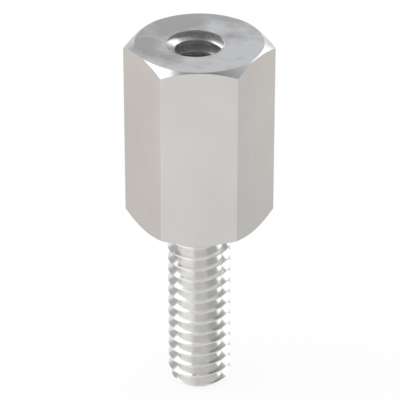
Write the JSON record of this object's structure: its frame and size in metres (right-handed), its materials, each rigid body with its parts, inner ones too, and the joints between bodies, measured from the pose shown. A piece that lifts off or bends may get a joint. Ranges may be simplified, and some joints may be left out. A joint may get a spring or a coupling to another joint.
{
  "type": "hex standoff",
  "caption": "Hexagonal spacer turned from one bar, with a threaded stud below and a tapped blind hole in its top face, for holding panels or boards apart.",
  "frame": {"origin": "centre of the shoulder, the lower end face of the hexagonal body, where the part seats", "axes": "+Z along the axis, from the stud towards the tapped end; +X through a corner of the hexagon and +Y square to one of its flats"},
  "size_m": [0.0146, 0.0128, 0.0382],
  "materials": {
    "steel": "satin"
  },
  "bodies": {
    "root": {"standoff": "steel"}
  },
  "joints": []
}
